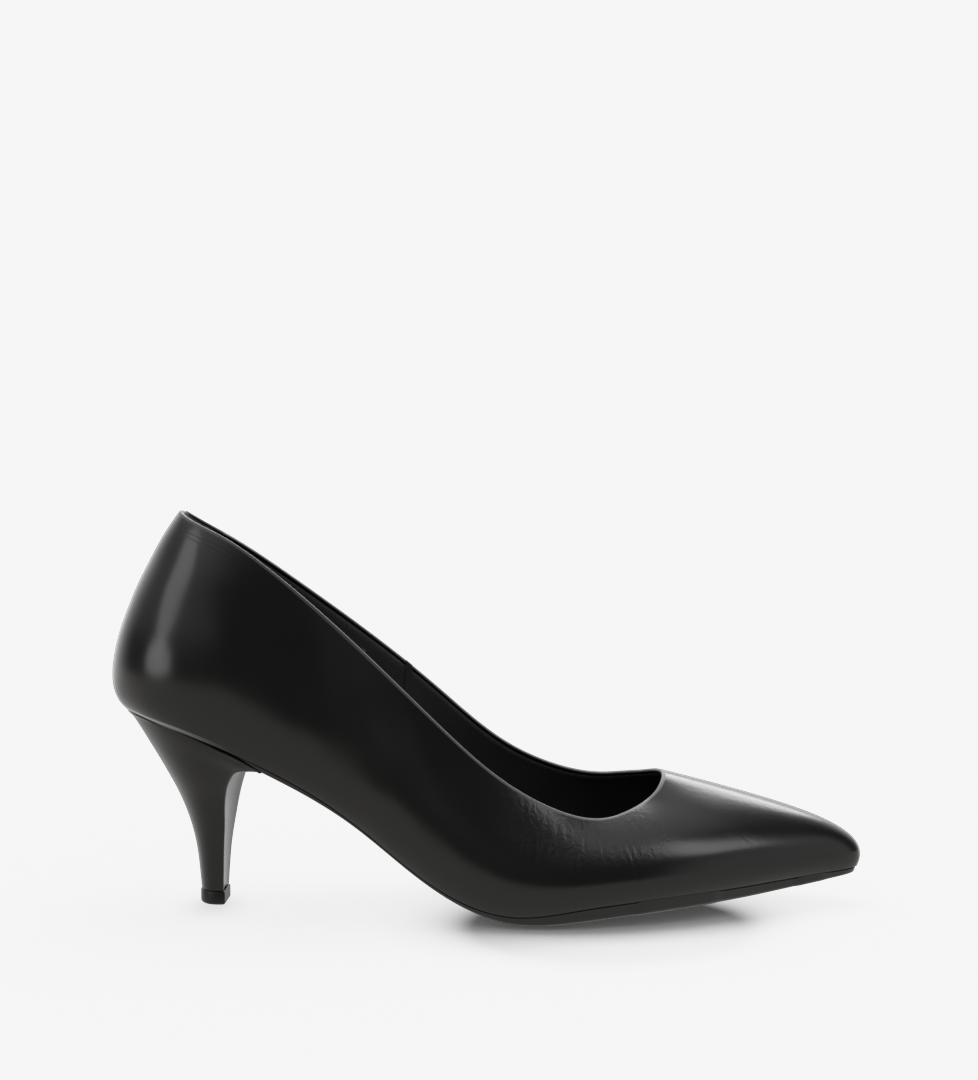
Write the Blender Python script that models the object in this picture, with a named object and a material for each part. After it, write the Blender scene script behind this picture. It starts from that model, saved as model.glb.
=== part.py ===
"""Women's pointed pump for the right foot, with a slim flared heel.

The shoe stands on its tread and heel tip: +X runs to the toe, +Y to the inner (medial) side, +Z up.
Sections are laid out in millimetres along a straight last, bent to the curve of the foot, and
turned to metres when a mesh is made.
"""

from collections import namedtuple

import bmesh
import bpy
import numpy as np

# Driving sizes of the shoe, in millimetres.
LENGTH = 245.0
BALL_WIDTH = 74.0
HEEL_HEIGHT = 65.0
BACK_HEIGHT = 64.5
SWING_RADIUS = 1500.0
WALL = 1.6
GAP = 0.3
INSOLE_THICKNESS = 2.4
SOLE_SET_BACK = 0.5
SOLE_ROUNDING = 0.55
LIFT_OVERHANG = 0.35
LIFT_CORNER = 0.8
MM = 0.001

# Sizes that follow: where the bent last lies square to the shoe's length, and the height at the back.
SWING_STATION = 0.57 * LENGTH
TOP_HEIGHT = HEEL_HEIGHT + BACK_HEIGHT

# How finely the surfaces are divided.
COLUMNS_PER_SECTION = 5
WALL_STEPS = 14
SOLE_STEPS = 8
SEAT_STEPS = 16
BREAST_STEPS = 9
HEEL_STEPS = 2
SHARP_DEGREES = 35.0

# Feather line, where the upper meets the sole, one row for each section from the heel to the toe:
# along is a share of LENGTH, lateral and medial are shares of BALL_WIDTH out from the middle line,
# seam is the height as a share of HEEL_HEIGHT, and edge and crown are the sole's thickness at its
# edge and the drop of its middle, in millimetres.
Feather = namedtuple("Feather", "along lateral medial seam edge crown")
FEATHER = {
    "back": Feather(0.018, 0.000, 0.000, 0.997, 1.0, 0.0),
    "heel_turn": Feather(0.043, 0.182, 0.182, 0.988, 1.0, 0.0),
    "heel_side": Feather(0.114, 0.324, 0.324, 0.920, 1.3, 0.0),
    "breast": Feather(0.212, 0.324, 0.311, 0.760, 1.9, 0.1),
    "waist": Feather(0.327, 0.324, 0.270, 0.494, 1.3, 0.4),
    "arch": Feather(0.433, 0.419, 0.351, 0.200, 1.4, 1.4),
    "tread": Feather(0.531, 0.493, 0.446, 0.071, 2.8, 2.6),
    "ball": Feather(0.620, 0.507, 0.486, 0.108, 4.8, 2.6),
    "vamp": Feather(0.727, 0.426, 0.446, 0.142, 4.9, 2.0),
    "toe_side": Feather(0.845, 0.257, 0.284, 0.158, 4.2, 1.2),
    "toe_point": Feather(0.947, 0.108, 0.122, 0.176, 2.8, 0.4),
    "toe": Feather(0.996, 0.000, 0.000, 0.182, 2.0, 0.0),
}

# Topline, the edge of the foot's opening: along is a share of LENGTH, lateral and medial are shares
# of BALL_WIDTH, and lateral_top and medial_top are heights as shares of TOP_HEIGHT.
Topline = namedtuple("Topline", "along lateral medial lateral_top medial_top")
TOPLINE = {
    "back": Topline(0.094, 0.000, 0.000, 1.000, 1.000),
    "heel_turn": Topline(0.112, 0.115, 0.115, 0.985, 0.972),
    "heel_side": Topline(0.167, 0.196, 0.196, 0.938, 0.905),
    "breast": Topline(0.253, 0.236, 0.236, 0.819, 0.791),
    "waist": Topline(0.351, 0.297, 0.297, 0.655, 0.649),
    "arch": Topline(0.441, 0.345, 0.338, 0.493, 0.507),
    "tread": Topline(0.531, 0.372, 0.351, 0.349, 0.375),
    "ball": Topline(0.616, 0.351, 0.324, 0.270, 0.314),
    "vamp": Topline(0.678, 0.264, 0.236, 0.270, 0.315),
    "toe_side": Topline(0.710, 0.162, 0.142, 0.292, 0.329),
    "toe_point": Topline(0.728, 0.078, 0.068, 0.320, 0.339),
    "toe": Topline(0.733, 0.000, 0.000, 0.337, 0.337),
}

# How the wall swells between the two lines, in millimetres: at its foot and at its rim it sets off
# along the shoe (sweep), outwards (flare) and upwards or downwards (rise, drop).
Swell = namedtuple("Swell", "foot_sweep foot_flare foot_rise rim_sweep rim_flare rim_drop")
SWELL = {
    "back": Swell(-14.8, 0.0, 10.5, -6.5, 0.0, 7.0),
    "heel_turn": Swell(-8.5, 9.0, 11.5, -6.0, 6.5, 11.0),
    "heel_side": Swell(0.0, 7.0, 14.0, -2.0, 12.0, 22.0),
    "breast": Swell(1.0, 7.0, 13.0, -3.0, 7.0, 20.0),
    "waist": Swell(0.0, 7.5, 12.0, -2.0, 5.5, 19.0),
    "arch": Swell(0.0, 7.0, 13.0, 0.0, 5.5, 18.0),
    "tread": Swell(0.0, 6.5, 12.0, 0.0, 6.5, 12.0),
    "ball": Swell(0.0, 6.0, 10.5, 1.0, 8.5, 7.5),
    "vamp": Swell(1.5, 6.0, 11.0, 7.0, 9.0, 5.0),
    "toe_side": Swell(4.0, 6.5, 12.0, 16.0, 7.5, 4.5),
    "toe_point": Swell(7.0, 4.5, 12.0, 29.0, 4.5, 8.0),
    "toe": Swell(6.5, 0.0, 12.5, 48.0, 0.0, 12.0),
}

# Heel block from the seat down to its tip, in millimetres: the rear and breast points of each level
# on the middle line, its half width, how far its breast is hollowed, and how far the breast is
# turned forwards at its medial corner.
HeelLevel = namedtuple(
    "HeelLevel", "rear rear_height breast breast_height half_width hollow turn"
)
HEEL = {
    "seat": HeelLevel(4.8, 63.0, 51.2, 48.2, 23.6, 0.0, 0.0),
    "seat_edge": HeelLevel(7.6, 59.6, 47.0, 46.4, 22.6, 0.6, 0.3),
    "flare": HeelLevel(11.4, 54.2, 43.1, 44.9, 20.4, 1.2, 0.7),
    "neck": HeelLevel(16.6, 46.0, 40.7, 41.6, 17.4, 1.6, 0.9),
    "stem_top": HeelLevel(21.4, 37.0, 39.4, 35.6, 13.6, 1.4, 0.8),
    "stem": HeelLevel(25.0, 27.6, 38.3, 27.4, 10.4, 1.0, 0.4),
    "stem_low": HeelLevel(27.2, 17.8, 37.2, 17.8, 7.9, 0.7, 0.1),
    "tip": HeelLevel(28.5, 4.6, 36.4, 4.6, 5.6, 0.4, 0.0),
}

# Finishes: base colour, roughness and metallic value.
FINISHES = {
    "upper": ((0.012, 0.012, 0.012), 0.38, 0.0),
    "insole": ((0.010, 0.010, 0.010), 0.70, 0.0),
    "outsole": ((0.014, 0.014, 0.013), 0.55, 0.0),
    "heel": ((0.014, 0.014, 0.014), 0.34, 0.0),
    "top_lift": ((0.008, 0.008, 0.008), 0.50, 0.0),
}


def column(table, name):
    """One named column of a table, as an array with a value for each section."""
    return np.array([getattr(row, name) for row in table.values()])


def around(along, lateral, medial, lateral_height, medial_height):
    """Section values as one closed ring of points: heel, lateral side, toe, medial side."""
    lateral_side = np.stack([along, -lateral, lateral_height], axis=1)
    medial_side = np.stack([along, medial, medial_height], axis=1)
    return np.concatenate([lateral_side, medial_side[-2:0:-1]])


def control_rings():
    """The four rings that shape the upper's wall: foot, foot pull, rim pull and rim."""
    along = column(FEATHER, "along") * LENGTH
    lateral = column(FEATHER, "lateral") * BALL_WIDTH
    medial = column(FEATHER, "medial") * BALL_WIDTH
    seam = column(FEATHER, "seam") * HEEL_HEIGHT
    rim_along = column(TOPLINE, "along") * LENGTH
    rim_lateral = column(TOPLINE, "lateral") * BALL_WIDTH
    rim_medial = column(TOPLINE, "medial") * BALL_WIDTH
    lateral_top = column(TOPLINE, "lateral_top") * TOP_HEIGHT
    medial_top = column(TOPLINE, "medial_top") * TOP_HEIGHT
    swell = {name: column(SWELL, name) for name in Swell._fields}
    foot = around(along, lateral, medial, seam, seam)
    foot_pull = around(
        along + swell["foot_sweep"],
        lateral + swell["foot_flare"],
        medial + swell["foot_flare"],
        seam + swell["foot_rise"],
        seam + swell["foot_rise"],
    )
    rim_pull = around(
        rim_along + swell["rim_sweep"],
        rim_lateral + swell["rim_flare"],
        rim_medial + swell["rim_flare"],
        lateral_top - swell["rim_drop"],
        medial_top - swell["rim_drop"],
    )
    rim = around(rim_along, rim_lateral, rim_medial, lateral_top, medial_top)
    return foot, foot_pull, rim_pull, rim


def ring_knots(ring):
    """Distance round a closed ring at each of its points, ending with its whole length."""
    steps = np.linalg.norm(np.roll(ring, -1, axis=0) - ring, axis=1)
    return np.concatenate([[0.0], np.cumsum(steps)])


def closed_spline(knots, values, where):
    """Smooth closed curve through values at knots, read at where."""
    count = len(values)
    spans = np.diff(knots)
    slopes = (np.roll(values, -1, axis=0) - values) / spans[:, None]
    system = np.zeros((count, count))
    for i in range(count):
        before = spans[i - 1]
        after = spans[i]
        system[i, i - 1] += before
        system[i, i] += 2.0 * (before + after)
        system[i, (i + 1) % count] += after
    bends = np.linalg.solve(system, 6.0 * (slopes - np.roll(slopes, 1, axis=0)))
    where = np.mod(where, knots[-1])
    i = np.clip(np.searchsorted(knots, where, side="right") - 1, 0, count - 1)
    span = spans[i][:, None]
    right = (where - knots[i])[:, None]
    left = span - right
    following = (i + 1) % count
    curved = (bends[i] * left**3 + bends[following] * right**3) / (6.0 * span)
    straight_left = (values[i] / span - bends[i] * span / 6.0) * left
    straight_right = (values[following] / span - bends[following] * span / 6.0) * right
    return curved + straight_left + straight_right


class Last:
    """The shoe's form: its wall surface and its feather line, read anywhere round the shoe."""

    def __init__(self):
        self.rings = control_rings()
        self.knots = ring_knots(self.rings[0])

    def stations(self):
        """Even places round the shoe, starting at the heel and going by the lateral side."""
        parts = np.arange(COLUMNS_PER_SECTION) / COLUMNS_PER_SECTION
        spans = np.diff(self.knots)
        return (self.knots[:-1, None] + spans[:, None] * parts[None, :]).ravel()

    def foot(self, where):
        """Feather line points."""
        return closed_spline(self.knots, self.rings[0], where)

    def section_value(self, wanted, where):
        """A feather table column read between its sections, the same on both sides."""
        values = column(FEATHER, wanted)
        ring = np.concatenate([values, values[-2:0:-1]])
        return closed_spline(self.knots, ring[:, None], where)[:, 0]

    def wall(self, where, rise):
        """Outer wall points: where round the shoe, rise from 0 at the foot to 1 at the rim."""
        foot, foot_pull, rim_pull, rim = (
            closed_spline(self.knots, ring, where) for ring in self.rings
        )
        rise = np.asarray(rise)[:, None]
        fall = 1.0 - rise
        return (
            fall**3 * foot
            + 3.0 * fall**2 * rise * foot_pull
            + 3.0 * fall * rise**2 * rim_pull
            + rise**3 * rim
        )

    def wall_outward(self, where, rise):
        """Directions square to the outer wall, pointing out of the shoe."""
        step = 0.2
        lean = 0.002
        low = np.clip(np.asarray(rise) - lean, 0.0, 1.0)
        high = np.clip(np.asarray(rise) + lean, 0.0, 1.0)
        round_way = self.wall(where + step, rise) - self.wall(where - step, rise)
        up_way = self.wall(where, high) - self.wall(where, low)
        out = np.cross(round_way, up_way)
        return out / np.linalg.norm(out, axis=1)[:, None]


def bend(points):
    """Points of the straight last moved onto the foot's curve."""
    points = np.asarray(points, float)
    past = points[:, 0] - SWING_STATION
    slope = past / SWING_RADIUS
    square = np.sqrt(1.0 + slope**2)
    along = points[:, 0] - points[:, 1] * slope / square
    across = past * slope / 2.0 + points[:, 1] / square
    return np.stack([along, across, points[:, 2]], axis=1)


def loft(name, rings, closed=False):
    """One solid bridged through rings of equal, even count. An open loft gets a strip as each cap."""
    shape = bmesh.new()
    loops = []
    for ring in rings:
        corners = [shape.verts.new(point * MM) for point in bend(ring)]
        loops.append([shape.edges.new(ends) for ends in zip(corners, corners[1:] + corners[:1])])
    following = loops[1:] + loops[:1] if closed else loops[1:]
    for loop, after in zip(loops, following):
        bmesh.ops.bridge_loops(shape, edges=loop + after)
    if not closed:
        for loop in (loops[0], loops[-1]):
            half = len(loop) // 2
            bmesh.ops.bridge_loops(shape, edges=loop[: half - 1] + loop[half:-1])
    bmesh.ops.recalc_face_normals(shape, faces=shape.faces)
    return finish(name, shape)


def finish(name, shape):
    """A named object from a bmesh, with its finish and smooth shading."""
    mesh = bpy.data.meshes.new(name)
    shape.to_mesh(mesh)
    shape.free()
    mesh.shade_smooth()
    mesh.set_sharp_from_angle(angle=np.radians(SHARP_DEGREES))
    colour, roughness, metallic = FINISHES[name]
    material = bpy.data.materials.new(name)
    material.use_nodes = True
    shader = material.node_tree.nodes["Principled BSDF"]
    shader.inputs["Base Color"].default_value = (*colour, 1.0)
    shader.inputs["Roughness"].default_value = roughness
    shader.inputs["Metallic"].default_value = metallic
    mesh.materials.append(material)
    piece = bpy.data.objects.new(name, mesh)
    bpy.context.scene.collection.objects.link(piece)
    return piece


def make_upper(last):
    """The leather wall: a closed band from the feather line to the topline, one wall thick."""
    rises = np.linspace(0.0, 1.0, WALL_STEPS + 1)
    rings = []
    for station in last.stations():
        where = np.full(len(rises), station)
        outer = last.wall(where, rises)
        inner = outer - WALL * last.wall_outward(where, rises)
        inner[0, 2] = outer[0, 2]
        rings.append(np.concatenate([outer, inner[::-1]]))
    return loft("upper", rings, closed=True)


def side_stations(last):
    """Stations of the lateral side and their mirror places on the medial side, ends left out."""
    stations = last.stations()
    half = len(stations) // 2
    return stations[1:half], stations[:half:-1]


def outline(last, inset):
    """Feather line points of both sides, drawn in by inset, as lateral and medial rows."""
    step = 0.2
    sides = []
    for stations in side_stations(last):
        points = last.foot(stations)
        ahead = last.foot(stations + step) - last.foot(stations - step)
        inward = np.stack([-ahead[:, 1], ahead[:, 0], 0.0 * ahead[:, 0]], axis=1)
        inward /= np.linalg.norm(inward, axis=1)[:, None]
        sides.append(points + inward * np.reshape(inset, (-1, 1)))
    return sides


def across(near, far, heights):
    """Points from the lateral to the medial edge of one section, at the given heights."""
    shares = np.linspace(0.0, 1.0, len(heights))[:, None]
    points = near + shares * (far - near)
    points[:, 2] = heights
    return points


def make_outsole(last):
    """Full-length sole: thin under the heel and arch, thicker and rounded at the edge in front."""
    lateral, _ = side_stations(last)
    edges = last.section_value("edge", lateral)
    crowns = last.section_value("crown", lateral)
    tops = zip(*outline(last, SOLE_SET_BACK))
    bulges = zip(*outline(last, 0.5 * SOLE_SET_BACK))
    unders = zip(*outline(last, 0.5 * SOLE_SET_BACK + SOLE_ROUNDING * edges))
    side = np.linspace(-1.0, 1.0, SOLE_STEPS + 1)
    rings = []
    for edge, crown, top, bulge, under in zip(edges, crowns, tops, bulges, unders):
        seam = top[0][2] - GAP
        upper_side = across(*top, np.full(len(side), seam))
        left, right = across(*bulge, np.full(2, seam - SOLE_ROUNDING * edge))
        lower_side = across(*under, np.maximum(0.0, seam - edge - crown * (1.0 - side**2)))
        rings.append(np.concatenate([[left], upper_side, [right], lower_side[::-1]]))
    return loft("outsole", rings)


def make_insole(last):
    """Insole board with its sock, lying on the outsole inside the upper's wall."""
    rings = []
    for near, far in zip(*outline(last, WALL + 2.0 * GAP)):
        low = across(near, far, np.full(SOLE_STEPS + 1, near[2]))
        high = low + np.array([0.0, 0.0, INSOLE_THICKNESS])
        rings.append(np.concatenate([high, low[::-1]]))
    return loft("insole", rings)


def heel_outline(last):
    """The seat's outline as shares: along from rear to breast, and side from -1 to 1."""
    reach = last.knots[list(FEATHER).index("breast")]
    lateral = reach * (np.arange(SEAT_STEPS) + 0.5) / (SEAT_STEPS - 0.5)
    near = last.foot(lateral)[:, :2]
    far = last.foot(last.knots[-1] - lateral)[:, :2]
    breast_side = np.linspace(0.0, 1.0, BREAST_STEPS + 1)[1:-1, None]
    front = near[-1] + breast_side * (far[-1] - near[-1])
    ring = np.concatenate([near, front, far[::-1]])
    rear = ring[:, 0].min()
    along = (ring[:, 0] - rear) / (ring[:, 0].max() - rear)
    side = ring[:, 1] / np.abs(ring[:, 1]).max()
    return along, side


def smooth_rows(rows, steps):
    """Rows with more rows set between them, along a smooth curve through them."""
    rows = np.array(rows)
    padded = np.concatenate([2.0 * rows[:1] - rows[1:2], rows, 2.0 * rows[-1:] - rows[-2:-1]])
    made = []
    for before, start, stop, after in zip(padded, padded[1:], padded[2:], padded[3:]):
        for t in np.arange(steps) / steps:
            pull = (stop - before) * (t - 2.0 * t**2 + t**3) / 2.0
            push = (after - start) * (t**3 - t**2) / 2.0
            made.append(start + (stop - start) * (3.0 * t**2 - 2.0 * t**3) + pull + push)
    return np.array(made + [rows[-1]])


def seat_height(last, along):
    """Height of the heel's top under the sole, read from the feather line."""
    lateral, _ = side_stations(last)
    line = last.foot(lateral)
    under = line[:, 2] - 2.0 * GAP
    under -= last.section_value("edge", lateral) + last.section_value("crown", lateral)
    return np.interp(along, line[:, 0], under)


def make_heel(last):
    """Flared heel block, its top following the sole and its breast hollowed."""
    along, side = heel_outline(last)
    on_breast = np.isclose(along, 1.0)
    rings = []
    for row in smooth_rows(list(HEEL.values()), HEEL_STEPS):
        level = HeelLevel(*row)
        x = level.rear + along * (level.breast - level.rear + level.turn * side)
        x -= on_breast * level.hollow * (1.0 - side**2)
        height = level.rear_height + along * (level.breast_height - level.rear_height)
        if not rings:
            height = seat_height(last, x)
        rings.append(np.stack([x, side * level.half_width, height], axis=1))
    return loft("heel", rings)


def make_top_lift(last):
    """Wear piece on the heel's tip: the tip's outline, a little proud, with rounded corners."""
    along, side = heel_outline(last)
    tip = HEEL["tip"]
    middle = (tip.rear + tip.breast) / 2.0
    levels = (
        (0.0, LIFT_CORNER),
        (0.3 * LIFT_CORNER, 0.3 * LIFT_CORNER),
        (LIFT_CORNER, 0.0),
        (tip.rear_height - GAP, 0.0),
    )
    rings = []
    for height, inset in levels:
        reach = (tip.breast - tip.rear) / 2.0 + LIFT_OVERHANG - inset
        x = middle + (2.0 * along - 1.0) * reach
        y = side * (tip.half_width + LIFT_OVERHANG - inset)
        rings.append(np.stack([x, y, np.full(len(x), height)], axis=1))
    return loft("top_lift", rings)


def main():
    for old in list(bpy.data.objects):
        bpy.data.objects.remove(old)
    last = Last()
    pieces = [
        make_upper(last),
        make_insole(last),
        make_outsole(last),
        make_heel(last),
        make_top_lift(last),
    ]
    corners = np.array([vertex.co for piece in pieces for vertex in piece.data.vertices])
    middle = (corners.min(axis=0) + corners.max(axis=0)) / 2.0
    shoe = bpy.data.objects.new("shoe", None)
    bpy.context.scene.collection.objects.link(shoe)
    shoe.location = (-middle[0], -middle[1], 0.0)
    for piece in pieces:
        piece.parent = shoe


main()
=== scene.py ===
"""Looks of the pump: leather upper with a folded topline, lining, insole, sole, covered heel and lift.

Every piece is laid over the same last as the part's solids. Lengths are millimetres until a mesh is made.
"""

import math
from collections import namedtuple

import bmesh
import bpy
import numpy as np
from mathutils import Matrix, Vector


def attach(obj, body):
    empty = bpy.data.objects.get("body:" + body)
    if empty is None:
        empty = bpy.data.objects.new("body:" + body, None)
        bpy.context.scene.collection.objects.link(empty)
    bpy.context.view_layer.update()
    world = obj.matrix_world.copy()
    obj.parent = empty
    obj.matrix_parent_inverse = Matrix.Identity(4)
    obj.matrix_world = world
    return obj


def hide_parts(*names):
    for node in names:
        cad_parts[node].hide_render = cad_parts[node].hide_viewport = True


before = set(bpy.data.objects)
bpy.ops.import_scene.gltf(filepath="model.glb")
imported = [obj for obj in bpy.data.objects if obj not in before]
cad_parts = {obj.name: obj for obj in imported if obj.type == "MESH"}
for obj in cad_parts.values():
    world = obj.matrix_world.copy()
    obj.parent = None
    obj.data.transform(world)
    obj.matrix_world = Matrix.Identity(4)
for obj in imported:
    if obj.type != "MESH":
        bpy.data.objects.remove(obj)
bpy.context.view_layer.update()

# Driving sizes of the shoe, as the part has them.
LENGTH = 245.0
BALL_WIDTH = 74.0
HEEL_HEIGHT = 65.0
BACK_HEIGHT = 64.5
SWING_RADIUS = 1500.0
WALL = 1.6
GAP = 0.3
INSOLE_THICKNESS = 2.4
LIFT_OVERHANG = 0.35
LIFT_CORNER = 0.8
MM = 0.001
SWING_STATION = 0.57 * LENGTH
TOP_HEIGHT = HEEL_HEIGHT + BACK_HEIGHT

# How the solids divide the upper, which sets where the part's frame has its middle.
SOLID_COLUMNS = 5
SOLID_RISES = 15

# Layers of the upper's wall, and the small sizes of its edges.
LEATHER = 0.9
FOLD = 1.3
FOLD_REACH = 2.2
FOOT_ROLL = 0.35
LINING_START = 0.95
LINING_DROP = 1.0
LINING_CROWN = 0.3

# The insole's edge: its tuck into the lining, the rounding of its top, and the inset and height of each
# row of the skirt that runs out into the leather.
INSOLE_TUCK = 0.1
INSOLE_ROUNDING = 0.8
INSOLE_SKIRT = ((0.1, 0.5), (1.2, 0.0))

# Joint of upper and sole: shut on these runs along the shoe, and a narrow groove elsewhere. The sole's
# edge slopes in below it to a rounded corner, both as shares of its thickness.
TIGHT_RUNS = ((0.695, 0.795), (0.915, 0.950))
TIGHT_FADE = 0.006
JOINT_SHUT = -0.15
JOINT_OPEN = 0.45
JOINT_DEPTH = 0.5
JOINT_TOUCH = 0.02
SOLE_SLOPE = 0.30
SOLE_ROUNDING = 0.30

# Stitches through the lining under the topline.
STITCH_LENGTH = 1.7
STITCH_PITCH = 2.3
STITCH_RADIUS = 0.2
STITCH_DROP = 2.6

# Patch inside the back: its reach to either side as a share of the way round, its depth and layer, the
# power that rounds its lower corners, and how far such layers sink into the lining.
GRIP_REACH = 0.0486
GRIP_DEPTH = 34.0
GRIP_OVER = 0.75
GRIP_THICKNESS = 0.5
GRIP_POWER = 6
GRIP_LEAST = 0.02
PATCH_SINK = 0.1

# Seams of the lining: place as a share of the way round, how far each stands over the rim, and width.
LiningSeam = namedtuple("LiningSeam", "place over width")
LINING_SEAMS = (LiningSeam(0.1657, 0.7, 1.4), LiningSeam(0.8014, 0.6, 3.2))
SEAM_DEPTH = 24.0
SEAM_THICKNESS = 0.45

# The heel's lip, which hides the sole's edge round the seat and fades out at its front, under a gap that
# widens between two places along the shoe. LIP_CLEAR is its room to the sole, LIP_BEVEL the fall of its
# top to the inside, and LIP_ROWS the heel's rows that it takes up.
LIP_INSET = 1.7
LIP_GAP = (0.30, 1.0)
LIP_GAP_RUN = (24.0, 40.0)
LIP_FADE = (40.0, 57.0)
LIP_TAPER = 0.15
LIP_BAND = 0.5
LIP_LEAST = 0.1
LIP_CLEAR = 0.5
LIP_BEVEL = 0.1
LIP_ROWS = 5
SAG_FADE = (0.0, 3.5)

# How finely the surfaces are divided, in millimetres along the shoe, in rows or in steps, and the angle in
# degrees from which an edge is sharp.
PLAIN_STEP = 1.2
CREASED_STEP = 0.5
CREASED_SHARE = (0.26, 0.40)
WALL_ROWS = 66
ROLL_ROWS = 8
HIDDEN_ROWS = 10
LINING_ROWS = 24
LINING_COLUMNS = 300
PATCH_ROWS = 16
GRIP_COLUMNS = 61
SEAM_COLUMNS = 9
FINE_PLACES = 2000
ROUND_STEPS = 6
SLAB_STEPS = 150
SLAB_ROWS = 10
SOLE_EDGE_ROWS = 13
SEAT_COLUMNS = 60
BREAST_COLUMNS = 24
HEEL_STEPS = 9
CAP_SHARES = (0.03, 0.35, 0.7, 1.0)
MERGE = 1e-6
SHARP = 50.0

# Feather line, where the upper meets the sole: shares of LENGTH, BALL_WIDTH and HEEL_HEIGHT, then the
# sole's edge thickness and the drop of its middle in millimetres.
Feather = namedtuple("Feather", "along lateral medial seam edge crown")
FEATHER = {
    "back": Feather(0.018, 0.000, 0.000, 0.997, 1.0, 0.0),
    "heel_turn": Feather(0.043, 0.182, 0.182, 0.988, 1.0, 0.0),
    "heel_side": Feather(0.114, 0.324, 0.324, 0.920, 1.3, 0.0),
    "breast": Feather(0.212, 0.324, 0.311, 0.760, 1.9, 0.1),
    "waist": Feather(0.327, 0.324, 0.270, 0.494, 1.3, 0.4),
    "arch": Feather(0.433, 0.419, 0.351, 0.200, 1.4, 1.4),
    "tread": Feather(0.531, 0.493, 0.446, 0.071, 2.8, 2.6),
    "ball": Feather(0.620, 0.507, 0.486, 0.108, 4.8, 2.6),
    "vamp": Feather(0.727, 0.426, 0.446, 0.142, 4.9, 2.0),
    "toe_side": Feather(0.845, 0.257, 0.284, 0.158, 4.2, 1.2),
    "toe_point": Feather(0.947, 0.108, 0.122, 0.176, 2.8, 0.4),
    "toe": Feather(0.996, 0.000, 0.000, 0.182, 2.0, 0.0),
}

# Topline, the edge of the foot's opening: shares of LENGTH, BALL_WIDTH and TOP_HEIGHT.
Topline = namedtuple("Topline", "along lateral medial lateral_top medial_top")
TOPLINE = {
    "back": Topline(0.094, 0.000, 0.000, 1.000, 1.000),
    "heel_turn": Topline(0.112, 0.115, 0.115, 0.985, 0.972),
    "heel_side": Topline(0.167, 0.196, 0.196, 0.938, 0.905),
    "breast": Topline(0.253, 0.236, 0.236, 0.819, 0.791),
    "waist": Topline(0.351, 0.297, 0.297, 0.655, 0.649),
    "arch": Topline(0.441, 0.345, 0.338, 0.493, 0.507),
    "tread": Topline(0.531, 0.372, 0.351, 0.349, 0.375),
    "ball": Topline(0.616, 0.351, 0.324, 0.270, 0.314),
    "vamp": Topline(0.678, 0.264, 0.236, 0.270, 0.315),
    "toe_side": Topline(0.710, 0.162, 0.142, 0.292, 0.329),
    "toe_point": Topline(0.728, 0.078, 0.068, 0.320, 0.339),
    "toe": Topline(0.733, 0.000, 0.000, 0.337, 0.337),
}

# How the wall sets off at its foot and its rim, in millimetres.
Swell = namedtuple("Swell", "foot_sweep foot_flare foot_rise rim_sweep rim_flare rim_drop")
SWELL = {
    "back": Swell(-14.8, 0.0, 10.5, -6.5, 0.0, 7.0),
    "heel_turn": Swell(-8.5, 9.0, 11.5, -6.0, 6.5, 11.0),
    "heel_side": Swell(0.0, 7.0, 14.0, -2.0, 12.0, 22.0),
    "breast": Swell(1.0, 7.0, 13.0, -3.0, 6.2, 20.0),
    "waist": Swell(0.0, 7.5, 11.5, -2.0, 3.4, 19.0),
    "arch": Swell(0.0, 7.0, 13.0, 0.0, 5.5, 18.0),
    "tread": Swell(0.0, 6.5, 12.0, 0.0, 6.5, 12.0),
    "ball": Swell(0.0, 6.0, 10.5, 1.0, 8.5, 7.5),
    "vamp": Swell(1.5, 6.0, 11.0, 7.0, 9.0, 5.0),
    "toe_side": Swell(4.0, 6.5, 12.0, 16.0, 7.5, 4.5),
    "toe_point": Swell(7.0, 4.5, 12.0, 29.0, 4.5, 8.0),
    "toe": Swell(6.5, 0.0, 12.5, 48.0, 0.0, 12.0),
}

# Heel block from the seat down to its tip, in millimetres.
HeelLevel = namedtuple("HeelLevel", "rear rear_height breast breast_height half_width hollow turn")
HEEL = {
    "seat": HeelLevel(4.8, 63.0, 51.6, 48.2, 23.6, 0.0, 0.0),
    "seat_edge": HeelLevel(7.6, 59.6, 47.6, 48.0, 22.6, 0.6, 0.3),
    "flare": HeelLevel(11.4, 54.2, 43.8, 46.6, 20.4, 1.2, 0.7),
    "neck": HeelLevel(16.6, 46.0, 41.2, 42.2, 17.4, 1.6, 0.9),
    "stem_top": HeelLevel(21.4, 37.0, 39.4, 35.6, 13.6, 1.4, 0.8),
    "stem": HeelLevel(25.0, 27.6, 38.3, 27.4, 10.4, 1.0, 0.4),
    "stem_low": HeelLevel(27.2, 17.8, 37.2, 17.8, 7.9, 0.7, 0.1),
    "tip": HeelLevel(28.5, 4.6, 36.4, 4.6, 5.6, 0.4, 0.0),
}

# The heel's breast, in shares of the seat's outline: where it starts, how soon it is full, and the size of
# its corners, how far they are drawn in and the point they are drawn towards.
BREAST_START = 0.93
BREAST_RUN = 0.05
BREAST_CORNER = 0.08
BREAST_PULL = 0.3
BREAST_AIM = (0.45, 0.0)

# Rounded top edge of the lift: drop below its top, and inset.
LIFT_TOP_EDGE = ((0.25, 0.0), (0.08, 0.08), (0.0, 0.25))

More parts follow.
